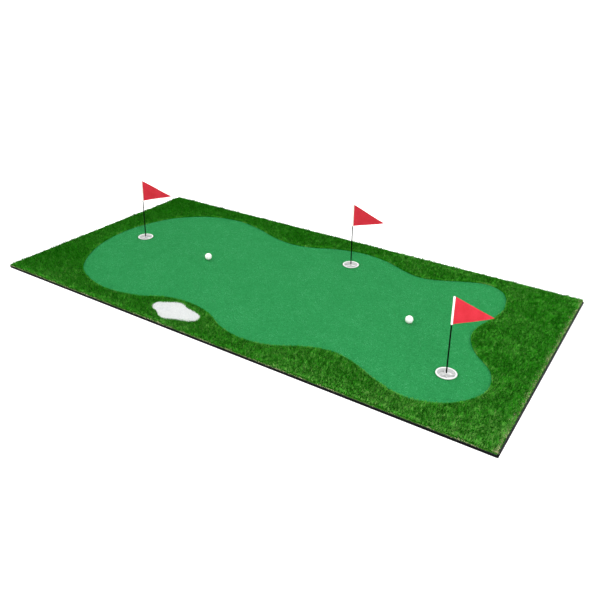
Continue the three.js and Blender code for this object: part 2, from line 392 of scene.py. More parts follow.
GREEN_GROUND = ground_look(
    "green_ground", [(0.3, "#1e6e3a"), (0.55, "#2c8a4c"), (0.8, "#3fa262")], 160.0)
BUNKER_GROUND = ground_look("bunker_ground", [(0.3, "#dcdfe0"), (0.7, "#f2f3f3")], 160.0)
FOAM = foam_look()
BACKING = backing_look()
SEAM_TAPE = tape_look()
# The cup's walls carry painted shade.
CUP_PLASTIC = plastic_look("cup_plastic", "#e6e7e6", "#d8d9da", painted_wall_shade=0.72)
SLEEVE_PLASTIC = plastic_look("sleeve_plastic", "#f6f4ee", "#e9e6dd")
ROD = rod_look()
FLAG_CLOTH = flag_look()
FLAG_THREAD = thread_look()
BALL_COVER = ball_look()

# ---- Outlines of the flat nodes ----


def top_outlines(node):
    """The closed outlines of a flat node's top face, longest first, as arrays of XY points."""
    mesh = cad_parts[node].data
    top = max(v.co.z for v in mesh.vertices) - 0.01 * MM
    key = {v.index: (round(v.co.x, 6), round(v.co.y, 6)) for v in mesh.vertices if v.co.z > top}
    uses = {}
    for face in mesh.polygons:
        if all(i in key for i in face.vertices):
            ring = [key[i] for i in face.vertices]
            for a, b in zip(ring, ring[1:] + ring[:1]):
                uses[(a, b)] = uses.get((a, b), 0) + 1
    onward = {a: b for a, b in uses if (b, a) not in uses}
    loops = []
    while onward:
        loop, here = [], min(onward)
        while here in onward:
            loop.append(here)
            here = onward.pop(here)
        loops.append(np.array(loop))
    return sorted(loops, key=len_of, reverse=True)


def len_of(loop):
    return float(np.linalg.norm(loop - np.roll(loop, -1, 0), axis=1).sum())


def respaced(loop, step):
    """The closed outline with a point about every step."""
    closed = np.vstack([loop, loop[:1]])
    along = np.concatenate([[0], np.cumsum(np.linalg.norm(np.diff(closed, axis=0), axis=1))])
    count = max(8, int(round(along[-1] / step)))
    at = np.arange(count) * along[-1] / count
    return np.stack([np.interp(at, along, closed[:, i]) for i in (0, 1)], 1)


def rounded(loop, step):
    """A smooth closed Catmull-Rom curve through the outline, with a point about every step."""
    fine = []
    each = max(1, int(math.ceil(len_of(loop) / len(loop) / step)))
    before, after, further = np.roll(loop, 1, 0), np.roll(loop, -1, 0), np.roll(loop, -2, 0)
    for t in np.arange(each) / each:
        fine.append(0.5 * (
            2 * loop + (after - before) * t
            + (2 * before - 5 * loop + 4 * after - further) * t ** 2
            + (3 * loop - before - 3 * after + further) * t ** 3
        ))
    return np.stack(fine, 1).reshape(-1, 2)


def nearest_edge(points, loops):
    """How far each point is from the loops, the way to them, and whether it lies inside."""
    starts = np.concatenate(loops)
    ends = np.concatenate([np.roll(loop, -1, 0) for loop in loops])
    step = ends - starts
    square = np.maximum((step ** 2).sum(1), 1e-18)
    rise = np.where(step[:, 1] == 0, 1e-12, step[:, 1])
    gap, way, inside = np.empty(len(points)), np.empty((len(points), 2)), np.empty(len(points), bool)
    for first in range(0, len(points), 4000):
        own = slice(first, first + 4000)
        some = points[own, None, :]
        off = some - starts
        off -= np.clip((off * step).sum(-1) / square, 0, 1)[..., None] * step
        far = np.sqrt((off ** 2).sum(-1))
        row, pick = np.arange(len(far)), far.argmin(1)
        gap[own] = far[row, pick]
        way[own] = -off[row, pick] / np.maximum(gap[own], 1e-9)[:, None]
        spans = (starts[:, 1] > some[..., 1]) != (ends[:, 1] > some[..., 1])
        cross = starts[:, 0] + (some[..., 1] - starts[:, 1]) * step[:, 0] / rise
        inside[own] = (spans & (some[..., 0] < cross)).sum(1) % 2 == 1
    return gap, way, inside


def depth_in(points, loops):
    """How far inside the loops each point lies, negative outside."""
    gap, _, inside = nearest_edge(points, loops)
    return np.where(inside, gap, -gap)


def area_of(loop):
    x, y = loop.T
    return float((x * np.roll(y, -1) - y * np.roll(x, -1)).sum() / 2)


def turned(loop, anticlockwise):
    return loop if (area_of(loop) > 0) == anticlockwise else loop[::-1]


def band(low, high):
    """The quads between two closed rings."""
    return np.stack([low, np.roll(low, -1), np.roll(high, -1), high], 1)


MAT_EDGE = top_outlines("foam_base")[0]
GREEN_EDGE = rounded(top_outlines("green_pile")[0], 12 * MM)
BUNKER_EDGE = rounded(top_outlines("bunker_pile")[0], 6 * MM)
CUP_HOLES = [respaced(loop, 6 * MM) for loop in top_outlines("green_pile")[1:]]

# ---- Sheets and slabs ----


def inset(loop, distance):
    """The outline moved into the material, which lies to the left of its direction of travel."""
    along = np.roll(loop, -1, 0) - np.roll(loop, 1, 0)
    along /= np.linalg.norm(along, axis=1, keepdims=True)
    return loop + distance * np.stack([-along[:, 1], along[:, 0]], 1)


def soft_noise(points, cell, seed):
    """Smooth noise from 0 to 1 over the XY plane, with bumps about one cell across."""
    rng = np.random.default_rng(seed)
    low = np.array(CAD_BOX[0][:2]) - cell
    size = np.ceil((CAD_BOX[1][:2] - low) / cell).astype(int) + 3
    table = rng.random(tuple(size))
    at = np.clip((points - low) / cell, 0, size - 2.001)
    whole = at.astype(int)
    part = at - whole
    part = part * part * (3 - 2 * part)
    i, j = whole.T
    u, v = part.T
    near = table[i, j] * (1 - u) + table[i + 1, j] * u
    far = table[i, j + 1] * (1 - u) + table[i + 1, j + 1] * u
    return near * (1 - v) + far * v


def scattered(loop, spacing, jitter, rng):
    """Points about one spacing apart over the loop's box, each moved a little."""
    low, high = loop.min(0), loop.max(0)
    xs, ys = (np.arange(low[i] + spacing / 2, high[i], spacing) for i in (0, 1))
    grid = np.stack(np.meshgrid(xs, ys), -1).reshape(-1, 2)
    return grid + rng.uniform(-jitter, jitter, grid.shape) * spacing


def slab(name, loops, levels, spacing, relief=None, seed=1):
    """A closed sheet. loops are its outline and openings; levels are (inset, height) from under to top.

    The top's inner points, about one spacing apart, rise by relief(points, depths).
    """
    loops = [turned(loop, i == 0) for i, loop in enumerate(loops)]
    rng = np.random.default_rng(seed)
    inner = scattered(loops[0], spacing, 0.25, rng)
    inner = inner[depth_in(inner, loops) > 0.6 * spacing]
    rims = [inset(loop, levels[-1][0]) for loop in loops]
    flat = np.concatenate(rims + [inner])
    edges, start = [], 0
    for loop in loops:
        ring = np.arange(start, start + len(loop))
        edges += list(zip(ring.tolist(), np.roll(ring, -1).tolist()))
        start += len(loop)
    found = delaunay_2d_cdt([Vector(p) for p in flat.tolist()], edges, [], 0, 1e-9)
    points, faces = np.array([tuple(p) for p in found[0]]), np.array(found[2])
    assert len(points) == len(flat), f"{name}: the outline crosses itself"
    faces = faces[depth_in(points[faces].mean(1), rims) > 0]
    corner = points[faces]
    side_a, side_b = corner[:, 1] - corner[:, 0], corner[:, 2] - corner[:, 0]
    flip = side_a[:, 0] * side_b[:, 1] - side_a[:, 1] * side_b[:, 0] < 0
    faces[flip] = faces[flip][:, ::-1]

    count = len(points)
    heights = np.full(count, levels[-1][1])
    if relief:
        heights += relief(points, np.maximum(depth_in(points, rims), 0))
    under = np.concatenate([inset(loop, levels[0][0]) for loop in loops] + [points[start:]])
    rows = [np.column_stack([points, heights]), np.column_stack([under, np.full(count, levels[0][1])])]
    triangles = [faces, faces[:, ::-1] + count]
    quads, begin, total = [], 0, 2 * count
    for loop in loops:
        top = begin + np.arange(len(loop))
        rings = [top + count]
        for distance, height in levels[1:-1]:
            rows.append(np.column_stack([inset(loop, distance), np.full(len(loop), height)]))
            rings.append(top - begin + total)
            total += len(loop)
        rings.append(top)
        quads += [band(low, high) for low, high in zip(rings, rings[1:])]
        begin += len(loop)
    everything = np.concatenate(rows)
    low, high = everything.min(0), everything.max(0)
    uv = 0.02 + 0.96 * (everything[:, :2] - low[:2]) / (high[:2] - low[:2]).max()
    return make_object(name, everything, np.concatenate(quads), np.concatenate(triangles), uv)


# ---- Yarn ----


def yarn(name, feet, height, heading, length, lean, curl, width, tone):
    """Flat blades of yarn, each bent in two, with their feet at these XY points and this height.

    heading is the way a blade leans, lean its tilt from upright at the foot, curl the tilt it gains.
    """
    count = len(feet)
    feet = np.column_stack([feet, np.broadcast_to(height, count)])
    across = np.stack([-np.sin(heading), np.cos(heading), np.zeros(count)], 1)
    forward = np.stack([np.cos(heading), np.sin(heading)], 1)

    def stretch(share, tilt):
        run = (length * share * np.sin(tilt))[:, None]
        return np.hstack([forward * run, (length * share * np.cos(tilt))[:, None]])

    knee = feet + stretch(0.55, lean + 0.3 * curl)
    tip = knee + stretch(0.45, lean + curl)
    half = across * width[:, None] / 2
    points = np.stack([feet - half, feet + half, knee - 0.85 * half, knee + 0.85 * half, tip], 1)
    column = np.minimum((np.clip(tone, 0, 1) * TONES).astype(int), TONES - 1)
    left, right = (column + 0.12) / TONES, (column + 0.88) / TONES
    u = np.stack([left, right, left, right, (left + right) / 2], 1)
    v = np.tile([0.02, 0.02, 0.55, 0.55, 0.98], (count, 1))
    base = np.arange(count)[:, None] * 5
    return make_object(
        name, points.reshape(-1, 3), base + [0, 1, 3, 2], base + [2, 3, 4],
        np.stack([u, v], -1).reshape(-1, 2))


def in_tufts(tufts, each, spread, rng):
    """Each tuft's XY repeated for its blades, with the blades set a little apart."""
    feet = np.repeat(tufts, each, axis=0)
    return feet + rng.normal(0, spread, feet.shape)


def held_in(heading, length, lean, curl, gap, way, slack):
    """Headings of the blades that would reach more than slack past their edge, turned back over it."""
    reach = length * (0.55 * np.sin(lean + 0.3 * curl) + 0.45 * np.sin(lean + curl))
    along = np.stack([np.cos(heading), np.sin(heading)], 1)
    outward = (along * way).sum(1)
    over = reach * outward - gap > slack
    along[over] -= 2 * outward[over, None] * way[over]
    return np.arctan2(along[:, 1], along[:, 0])


FAIRWAY_LOOPS = [MAT_EDGE, GREEN_EDGE, BUNKER_EDGE]
FAIRWAY_STRIPS = 4  # pieces of yarn along X, to keep each one light
GREEN_STRIPS = 3
FAIRWAY_TUFT_STEP = 5.6 * MM
GREEN_TUFT_STEP = 6.6 * MM
BUNKER_TUFT_STEP = 4.5 * MM
FAIRWAY_YARN_LENGTH = 19.5 * MM
EDGE_CUT = 3.2 * MM  # how far in from the mat's edge the upright yarn starts
RIGHT_END_CUT = 10 * MM
RAGGED_EDGE = 16 * MM  # within this of the mat's edge the yarn is uneven and leans over it
NAP = math.radians(-35)  # the way most of the yarn leans
END_LEDGE = 4.8 * MM  # how far the black base shows beyond the turf at the right end


def from_right_end(points):
    return CAD_BOX[1].x - points[:, 0]


def painted_light_falloff(points):
    """Painted light: from -1 at the far left corner, darkest, to 1 at the near right one, where the
    yarn is painted palest.
    """
    return (points[:, 0] / CAD_BOX[1].x - points[:, 1] / CAD_BOX[1].y) / 2


def in_strips(name, look, slot, strips, feet, *values):
    """The yarn as one piece for each strip along X. values are what yarn() takes after the feet."""
    values = [np.broadcast_to(value, len(feet)) for value in values]
    share = (feet[:, 0] - CAD_BOX[0].x) / (CAD_BOX[1].x - CAD_BOX[0].x)
    strip = np.clip((share * strips).astype(int), 0, strips - 1)
    for i in range(strips):
        own = strip == i
        piece = yarn(f"{name}_{i + 1}", feet[own], *(value[own] for value in values))
        finished(piece, look, "mat", slot)


def fairway():
    rng = np.random.default_rng(11)
    ground_top = PILE_FOOT + 7 * MM

    def relief(points, depths):
        bumps = soft_noise(points, 16 * MM, 3) + 0.6 * soft_noise(points, 40 * MM, 4)
        return (bumps - 0.8) * 3 * MM * np.minimum(depths / (10 * MM), 1)

    levels = [(0.8 * MM, PILE_FOOT), (0.4 * MM, PILE_FOOT + 2 * MM), (1.2 * MM, PILE_FOOT + 4.5 * MM),
              (3 * MM, ground_top)]
    edge = respaced(MAT_EDGE, 12 * MM)
    edge[:, 0] -= END_LEDGE * np.clip(edge[:, 0] / CAD_BOX[1].x, 0, 1)
    ground = slab("fairway_ground", [edge, GREEN_EDGE, BUNKER_EDGE], levels, 16 * MM, relief, 21)
    finished(ground, FAIRWAY_GROUND, "mat", "fairway_pile", "fairway_pile")

    each = 3
    tufts = scattered(MAT_EDGE, FAIRWAY_TUFT_STEP, 0.42, rng)
    tufts = tufts[(from_right_end(tufts) > RIGHT_END_CUT) & (depth_in(tufts, [MAT_EDGE]) > EDGE_CUT)]
    tufts = tufts[depth_in(tufts, FAIRWAY_LOOPS) > 2.5 * MM]
    gap, way, _ = nearest_edge(tufts, FAIRWAY_LOOPS)
    swirl = NAP + 2.2 * (soft_noise(tufts, 18 * MM, 33) - 0.5)
    bands = soft_noise(tufts, 150 * MM, 31) - 0.5
    clumps = soft_noise(tufts, 26 * MM, 32) - 0.5
    x, y = (tufts / CAD_BOX[1][:2]).T  # from -1 to 1 each
    # Painted light: the yarn's tone rises towards the near right corner and along the near and far
    # edges on the right, and falls towards the far left.
    tuft_tone = 0.42 + 0.16 * painted_light_falloff(tufts) + 0.07 * (x + 1) * y ** 2 + 0.2 * bands + 0.14 * clumps
    tuft_tone += rng.normal(0, 0.14, len(tufts))

    feet = in_tufts(tufts, each, 0.9 * MM, rng)
    count = len(feet)
    tone = np.repeat(tuft_tone, each) + rng.normal(0, 0.12, count)
    heading = np.repeat(swirl + rng.normal(0, 0.9, len(tufts)), each) + rng.normal(0, 0.5, count)
    lean = np.abs(rng.normal(0.28, 0.14, count))
    curl = np.abs(rng.normal(0.45, 0.25, count))
    at_edge = np.repeat(depth_in(tufts, [MAT_EDGE]) < RAGGED_EDGE, each)
    growth = (soft_noise(feet, 24 * MM, 34) - 0.5) * np.where(at_edge, 0.8, 0.36)
    length = rng.normal(FAIRWAY_YARN_LENGTH, 1.4 * MM, count) * (1 + growth)
    gap, way = np.repeat(gap, each), np.repeat(way, each, axis=0)
    slack = np.where(at_edge, 7 * soft_noise(feet, 30 * MM, 35) ** 2, 1) * MM
    heading = held_in(heading, length, lean, curl, gap, way, slack)
    width = rng.uniform(1.8, 2.8, count) * MM
    in_strips("fairway_yarn", FAIRWAY_YARN, "fairway_pile", FAIRWAY_STRIPS,
              feet, PILE_FOOT + 2 * MM, heading, length, lean, curl, width, tone)


def trimmed_row():
    """The row of cut yarn that stands along the green and round the bunker."""
    rng = np.random.default_rng(15)
    rows = []
    for loop in (GREEN_EDGE, BUNKER_EDGE):
        for out in (0.9, 2.3):
            ring = respaced(turned(loop, True), 2.0 * MM)
            rows.append(inset(ring, -out * MM) + rng.normal(0, 0.35 * MM, ring.shape))
    feet = np.concatenate(rows)
    count = len(feet)
    gap, way, _ = nearest_edge(feet, [GREEN_EDGE, BUNKER_EDGE])
    lean = rng.uniform(0.0, 0.2, count)
    curl = rng.uniform(0.05, 0.5, count)
    length = rng.uniform(14.5, 18, count) * MM
    # Painted light across the mat, as on the fairway.
    tone = rng.uniform(0.1, 0.8, count) + 0.2 * painted_light_falloff(feet) + soft_noise(feet, 40 * MM, 52) - 0.5
    heading = held_in(rng.uniform(0, math.tau, count), length, lean, curl, gap, way, 1.5 * MM)
    piece = yarn("fairway_trimmed_row", feet, PILE_FOOT + 1 * MM, heading, length, lean, curl,
                 rng.uniform(1.3, 2.1, count) * MM, tone)
    finished(piece, FAIRWAY_YARN, "mat", "fairway_pile")


def fringe():
    """Curled thatch yarn that shows where the mat is cut: a thin line, wider across the right end."""
    rng = np.random.default_rng(12)
    rows = []
    for depth in (0.6, 1.4, 2.6, 4.2, 6.5, 9, 12, 15, 19, 24):
        ring = respaced(turned(MAT_EDGE, True), 1.8 * MM)
        ring = inset(ring, depth * MM) + rng.normal(0, 0.7 * MM, ring.shape)
        at_end = from_right_end(ring) < 26 * MM
        kept = at_end & (rng.random(len(ring)) < 1.25 - depth / 30)
        rows.append(ring[kept | (depth < 5)])
    feet = np.concatenate(rows)
    feet = feet[(depth_in(feet, [MAT_EDGE]) > 0.2 * MM) & (from_right_end(feet) > END_LEDGE + 0.7 * MM)]
    count = len(feet)
    at_end = from_right_end(feet) < 28 * MM
    gap, way, _ = nearest_edge(feet, [MAT_EDGE])
    lean = rng.uniform(0.1, 0.8, count) + np.where(at_end, 0, rng.uniform(0, 0.6, count))
    curl = rng.uniform(0.2, 1.3, count) + np.where(at_end, 0, rng.uniform(0, 0.7, count))
    length = rng.uniform(5, 9, count) * MM * np.where(at_end, 1.8, 1)
    slack = np.where(at_end, -END_LEDGE, 3.5 * MM)
    heading = held_in(rng.uniform(0, math.tau, count), length, lean, curl, gap, way, slack)
    height = rng.uniform(0.5, 4, count) * MM + PILE_FOOT
    patches = 1.5 * (soft_noise(feet, 35 * MM, 51) - 0.5)
    tone = rng.uniform(0.1, 1, count) + patches * np.where(at_end, 0.5, 1)
    piece = yarn("fairway_thatch_fringe", feet, height, heading, length, lean, curl,
                 rng.uniform(1.0, 1.7, count) * MM, tone)
    finished(piece, THATCH_YARN, "mat", "fairway_pile")


def from_cups(points):
    """How far outside the nearest cup's rim each point lies."""
    gaps = [np.hypot(*(points - c[:2]).T) - CUP_RIM_RADIUS for c in CUP_CENTRES.values()]
    return np.min(gaps, axis=0)


def green():
    rng = np.random.default_rng(13)
    ground_top = GREEN_TOP - 1.2 * MM

    def relief(points, depths):
        bumps = soft_noise(points, 14 * MM, 5) - 0.5
        dip = np.clip(1 - from_cups(points) / (7 * MM), 0, 1)
        return bumps * 0.8 * MM * np.minimum(depths / (10 * MM), 1) - 1.9 * MM * dip

    levels = [(0.3 * MM, PILE_FOOT), (0.3 * MM, ground_top - 2 * MM), (1.2 * MM, ground_top)]
    ground = slab("green_ground", [GREEN_EDGE, *CUP_HOLES], levels, 15 * MM, relief, 22)
    finished(ground, GREEN_GROUND, "mat", "green_pile", "green_pile")

    each = 2
    tufts = scattered(GREEN_EDGE, GREEN_TUFT_STEP, 0.45, rng)
    tufts = tufts[(depth_in(tufts, [GREEN_EDGE]) > 1 * MM) & (from_cups(tufts) > 1.4 * MM)]
    clumps = soft_noise(tufts, 13 * MM, 41) - 0.5
    bands = soft_noise(tufts, 70 * MM, 42) - 0.5
    # Painted shade: yarn within a few millimetres of a cup's rim is darkened, for the shade round the
    # rim.
    painted_rim_shade = np.clip(1.4 - from_cups(tufts) / (7 * MM), 0, 1)
    tuft_tone = 0.5 + 0.5 * clumps + 0.3 * bands + rng.normal(0, 0.12, len(tufts)) - 1.2 * painted_rim_shade
    feet = in_tufts(tufts, each, 1.7 * MM, rng)
    count = len(feet)
    tone = np.repeat(tuft_tone, each) + rng.normal(0, 0.12, count)
    heading = rng.uniform(0, math.tau, count)
    lean = rng.uniform(0.3, 1.0, count)
    curl = rng.uniform(0.2, 0.9, count)
    length = rng.uniform(3.6, 5.6, count) * MM
    width = rng.uniform(1.4, 2.3, count) * MM
    in_strips("green_yarn", GREEN_YARN, "green_pile", GREEN_STRIPS,
              feet, ground_top - 1 * MM, heading, length, lean, curl, width, tone)


def bunker():
    rng = np.random.default_rng(14)
    ground_top = BUNKER_TOP - 5 * MM

    def relief(points, depths):
        return (soft_noise(points, 12 * MM, 6) - 0.5) * 2 * MM * np.minimum(depths / (8 * MM), 1)

    levels = [(0.4 * MM, PILE_FOOT), (0.4 * MM, ground_top - 2 * MM), (1.5 * MM, ground_top)]
    ground = slab("bunker_ground", [BUNKER_EDGE], levels, 7 * MM, relief, 23)
    finished(ground, BUNKER_GROUND, "mat", "bunker_pile", "bunker_pile")

    tufts = scattered(BUNKER_EDGE, BUNKER_TUFT_STEP, 0.45, rng)
    tufts = tufts[depth_in(tufts, [BUNKER_EDGE]) > 0.8 * MM]
    feet = in_tufts(tufts, 6, 1.5 * MM, rng)
    count = len(feet)
    heading = rng.uniform(0, math.tau, count)
    length = rng.uniform(10, 13, count) * MM
    lean = rng.uniform(0.05, 0.4, count)
    curl = rng.uniform(0.2, 0.9, count)
    width = rng.uniform(1.0, 1.8, count) * MM
    piece = yarn("bunker_yarn", feet, PILE_FOOT + 4 * MM, heading, length, lean, curl, width,
                 rng.uniform(0, 1, count))
    finished(piece, BUNKER_YARN, "mat", "bunker_pile")


# ---- Foam and backings ----


def foam():
    edge = respaced(MAT_EDGE, 25 * MM)
    low, high = (corner.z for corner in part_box("foam_base"))
    levels = [(1.4 * MM, low), (0.4 * MM, low + 0.4 * MM), (0, low + 1.4 * MM), (0, high - 1.2 * MM),
              (0.4 * MM, high - 0.3 * MM), (1.4 * MM, high)]
    piece = slab("foam_pad", [edge, *CUP_HOLES], levels, 90 * MM)
    finished(piece, FOAM, "mat", "foam", "foam_base")


def backing(name, node, loops, spacing):
    low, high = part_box(node)
    levels = [(0.5 * MM, low.z), (0.1 * MM, low.z + 0.5 * MM), (0.2 * MM, high.z)]
    piece = slab(name, loops, levels, spacing)
    finished(piece, BACKING, "mat", "turf_backing", node)


def seam_tape(name, node):
    low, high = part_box(node)
    loops = [rounded(loop, 10 * MM) for loop in top_outlines(node)]
    piece = slab(name, loops, [(0, low.z), (0.1 * MM, low.z + 0.2 * MM), (0.2 * MM, high.z)], 200 * MM)
    finished(piece, SEAM_TAPE, "mat", "seam_tape", node)


# ---- Round pieces ----


def lathe(name, profile, steps, centre):
    """A solid of revolution about the vertical through centre. The profile starts and ends on the axis,
    or closes on itself, and runs anticlockwise with the radius to the right and the height up."""
    closed = int(profile[0] == profile[-1])
    turn = np.arange(steps) * math.tau / steps
    points, index = [], []
    for radius, height in profile[:len(profile) - closed]:
        if radius == 0:
            index.append(np.full(steps, len(points)))
            points.append((centre.x, centre.y, height))
            continue
        index.append(len(points) + np.arange(steps))
        xs, ys = centre.x + radius * np.cos(turn), centre.y + radius * np.sin(turn)
        points += zip(xs, ys, [height] * steps)
    quads, triangles = [], []
    for low, high in zip(index, index[1:] + index[:closed]):
        across = band(low, high)
        if low[0] == low[-1]:
            triangles.append(across[:, [0, 2, 3]])
        elif high[0] == high[-1]:
            triangles.append(across[:, [0, 1, 2]])
        else:
            quads.append(across)
    triangles = np.concatenate(triangles) if triangles else ()
    return make_object(name, points, np.concatenate(quads), triangles)


def cut(piece, tool, operation):
    """Joins the tool to the piece, or cuts it away, and removes the tool."""
    modifier = piece.modifiers.new("cut", "BOOLEAN")
    modifier.operation = operation
    modifier.solver = "EXACT"
    modifier.object = tool
    with_modifiers(piece)
    mesh = tool.data
    bpy.data.objects.remove(tool)
    bpy.data.meshes.remove(mesh)


def shaded_smooth(piece):
    """Smooth shading, with the edges over 35 degrees left sharp."""
    piece.data.shade_smooth()
    piece.data.set_sharp_from_angle(angle=math.radians(35))


def softened(piece, width):
    """The piece with its hard edges rounded and its shading smooth across shallow ones."""
    modifier = piece.modifiers.new("round", "BEVEL")
    modifier.width = width
    modifier.segments = 2
    modifier.limit_method = "ANGLE"
    modifier.angle_limit = math.radians(30)
    with_modifiers(piece)
    shaded_smooth(piece)


CUP_WALL = 2.0 * MM
CUP_MOUTH_RADIUS = 42 * MM
CUP_FLOOR_RADIUS = 39.6 * MM
CUP_HUB_RADIUS = 8 * MM
CUP_WEB_ANGLE = 35
CUP_WEB_HALF = 0.95 * MM
CUP_WEB_HEIGHT = 12 * MM
CUP_DRAIN_RADIUS = 4.5  # millimetres, for at()
CUP_DRAIN_PLACE = 25 * MM
CUP_NOTCH = 0.9 * MM  # its depth, and half its width
POLE_RADIUS = half_width("pole_left")
POLE_BORE = POLE_RADIUS + 0.3 * MM  # in the cup's socket and in the sleeve


def at(radius, height, out=0.0, up=0.0):
    """A profile point: millimetres out and up from a radius and a height in metres."""
    return (radius + out * MM, height + up * MM)


def cut_across(piece, centre, angle, low, high, operation):
    """Joins a box, turned about the vertical through centre, to the piece, or cuts it away."""
    quads = [[0, 1, 3, 2], [4, 6, 7, 5], [0, 4, 5, 1], [2, 3, 7, 6], [0, 2, 6, 4], [1, 5, 7, 3]]
    tool = make_object("tool", list(itertools.product(*zip(low, high))), quads, smooth=False)
    tool.data.transform(Matrix.Rotation(angle, 4, "Z"))
    tool.data.transform(Matrix.Translation((centre.x, centre.y, 0)))
    cut(piece, tool, operation)


def cup(side):
    centre = CUP_CENTRES[side]
    bottom, hub_top = (corner.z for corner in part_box(f"cup_{side}"))
    rim_top = hub_top - 0.8 * MM
    rim_low = rim_top - 1.8 * MM
    base = bottom + CUP_WALL
    rim, mouth, floor, hub = CUP_RIM_RADIUS, CUP_MOUTH_RADIUS, CUP_FLOOR_RADIUS, CUP_HUB_RADIUS
    wall = floor + CUP_WALL
    profile = [
        (0, bottom), at(wall, bottom, -2.2), at(wall, bottom, -0.9, 0.35), at(wall, bottom, -0.1, 1.3),
        (mouth + CUP_WALL, rim_low), at(rim, rim_low, -0.7), at(rim, rim_low, -0.1, 0.3),
        at(rim, rim_low, 0, 0.8), at(rim, rim_top, -0.3, -0.5), at(rim, rim_top, -1.1, -0.1),
        at(rim, rim_top, -2), at(mouth, rim_top, 1.2), at(mouth, rim_top, 0.5, -0.15),
        at(mouth, rim_top, 0, -0.7), at(floor, base, 0.15, 2), at(floor, base, -0.6, 0.5),
        at(floor, base, -2), at(hub, base, 1.6), at(hub, base, 0.4, 0.5), at(hub, base, -0.1, 1.8),
        at(hub, hub_top, -1, -0.9), at(hub, hub_top, -1.3, -0.25), at(hub, hub_top, -1.9),
        at(POLE_BORE, hub_top, 0.5), at(POLE_BORE, hub_top, 0.1, -0.2), at(POLE_BORE, hub_top, 0, -0.7),
        at(POLE_BORE, base, 0, 1), at(0, base, 0, 1),
    ]
    piece = lathe(f"cup_shell_{side}", profile, 96, centre)
    for quarter in range(4):
        angle = math.radians(CUP_WEB_ANGLE + 90 * quarter)
        cut_across(piece, centre, angle, (6 * MM, -CUP_WEB_HALF, bottom + 1 * MM),
                   (40.4 * MM, CUP_WEB_HALF, bottom + CUP_WEB_HEIGHT), "UNION")
        drain_angle = angle + math.radians(45)
        away = Vector((math.cos(drain_angle), math.sin(drain_angle), 0)) * CUP_DRAIN_PLACE
        drain = [at(0, bottom, 0, -2), at(0, bottom, CUP_DRAIN_RADIUS, -2),
                 at(0, base, CUP_DRAIN_RADIUS, 2), at(0, base, 0, 2)]
        cut(piece, lathe("drain", drain, 32, centre + away), "DIFFERENCE")
        cut_across(piece, centre, angle, (40 * MM, -CUP_NOTCH, rim_top - CUP_NOTCH),
                   (60 * MM, CUP_NOTCH, rim_top + 3 * MM), "DIFFERENCE")
    softened(piece, 0.3 * MM)
    finished(piece, CUP_PLASTIC, f"cup_{side}", "cup", f"cup_{side}")


def pole(side):
    foot, top = (corner.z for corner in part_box(f"pole_{side}"))
    radius = POLE_RADIUS
    profile = [
        (0, foot), at(radius, foot, -1.2), at(radius, foot, -0.4, 0.25), at(radius, foot, 0, 1),
        at(radius, top, 0, -1), at(radius, top, -0.4, -0.25), at(radius, top, -1.2), (0, top),
    ]
    piece = lathe(f"pole_rod_{side}", profile, 40, CUP_CENTRES[side])
    finished(piece, ROD, f"pole_{side}", "pole", f"pole_{side}")


def flag_frame(side):
    """Where a flag's cloth lies: the pole's axis, the way the flag flies, and its hoist's ends."""
    centre = CUP_CENTRES[side]
    away = middle(f"flag_{side}") - centre
    heading = math.atan2(away.y, away.x)
    low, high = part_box(f"flag_sleeve_{side}")
    return centre, heading, low.z, high.z


FLAG_FRAMES = {side: flag_frame(side) for side in SIDES}
SLEEVE_RADIUS = half_width("flag_sleeve_left")


def sleeve(side):
    centre, heading, low, high = FLAG_FRAMES[side]
    radius = SLEEVE_RADIUS
    profile = [
        at(POLE_BORE, low, 0, 0.2), at(POLE_BORE, low, 0.15), at(radius, low, -0.15),
        at(radius, low, 0, 0.2), at(radius, high, 0, -1.6), at(radius, high, -0.35, -0.7),
        at(radius, high, -1.1, -0.15), at(radius, high, -2.2), (0, high), at(0, high, 0, -2.2),
        at(POLE_BORE, high, 0, -2.2), at(POLE_BORE, low, 0, 0.2),
    ]
    piece = lathe(f"sleeve_tube_{side}", profile, 40, centre)
    slot = (2 * MM, -0.8 * MM, low + 4 * MM), (8 * MM, 0.8 * MM, high - 4 * MM)
    cut_across(piece, centre, heading, *slot, "DIFFERENCE")
    shaded_smooth(piece)
    finished(piece, SLEEVE_PLASTIC, f"flag_{side}", "flag_sleeve", f"flag_sleeve_{side}")


# ---- Pennants ----

FLAG_LENGTH = 186 * MM
FLAG_HOIST = 138 * MM
FLAG_DROOP = 40 * MM
FLAG_THICKNESS = 0.45 * MM
HEM = 6 * MM
STITCH_LINE = 4.6 * MM  # from the cloth's edge
STITCH_STEP = 3.2 * MM
# A thread's cross-sections in millimetres: place along it, half its width, and how far it is raised.
THREAD_SECTIONS = ((-1.0, 0.16, 0.0), (-0.6, 0.24, 0.2), (0.6, 0.24, 0.2), (1.0, 0.16, 0.0))


def flag_point(side, share, up, off):
    """A point on the pennant: share of its length from the hoist, metres up from the middle line, and
    metres off the cloth's face."""
    centre, heading, low, high = FLAG_FRAMES[side]
    phase = {"left": 0.4, "middle": 1.3, "right": 2.3}[side]
    along = SLEEVE_RADIUS + 0.1 * MM + FLAG_LENGTH * share
    wave = 3.6 * MM * math.sin(math.tau * (0.95 * share + 1.2 * up) + phase) * share ** 0.8
    wave += 1.2 * MM * math.sin(math.tau * 2.3 * share + 30 * up) * share
    height = (low + high) / 2 + up - FLAG_DROOP * share ** 1.06
    sideways = wave + off
    x = centre.x + along * math.cos(heading) - sideways * math.sin(heading)
    y = centre.y + along * math.sin(heading) + sideways * math.cos(heading)
    return (x, y, height)


def hem_rows(half):
    """Heights of the cloth's rows above its middle line, from the bottom edge to the top one."""
    shrink = min(1, half / (14 * MM))
    hem = [half - d * shrink for d in (0, 0.5 * MM, HEM - 0.5 * MM, HEM)]
    inner = np.linspace(-hem[3], hem[3], 13)[1:-1]
    return [-h for h in hem] + list(inner) + hem[::-1]


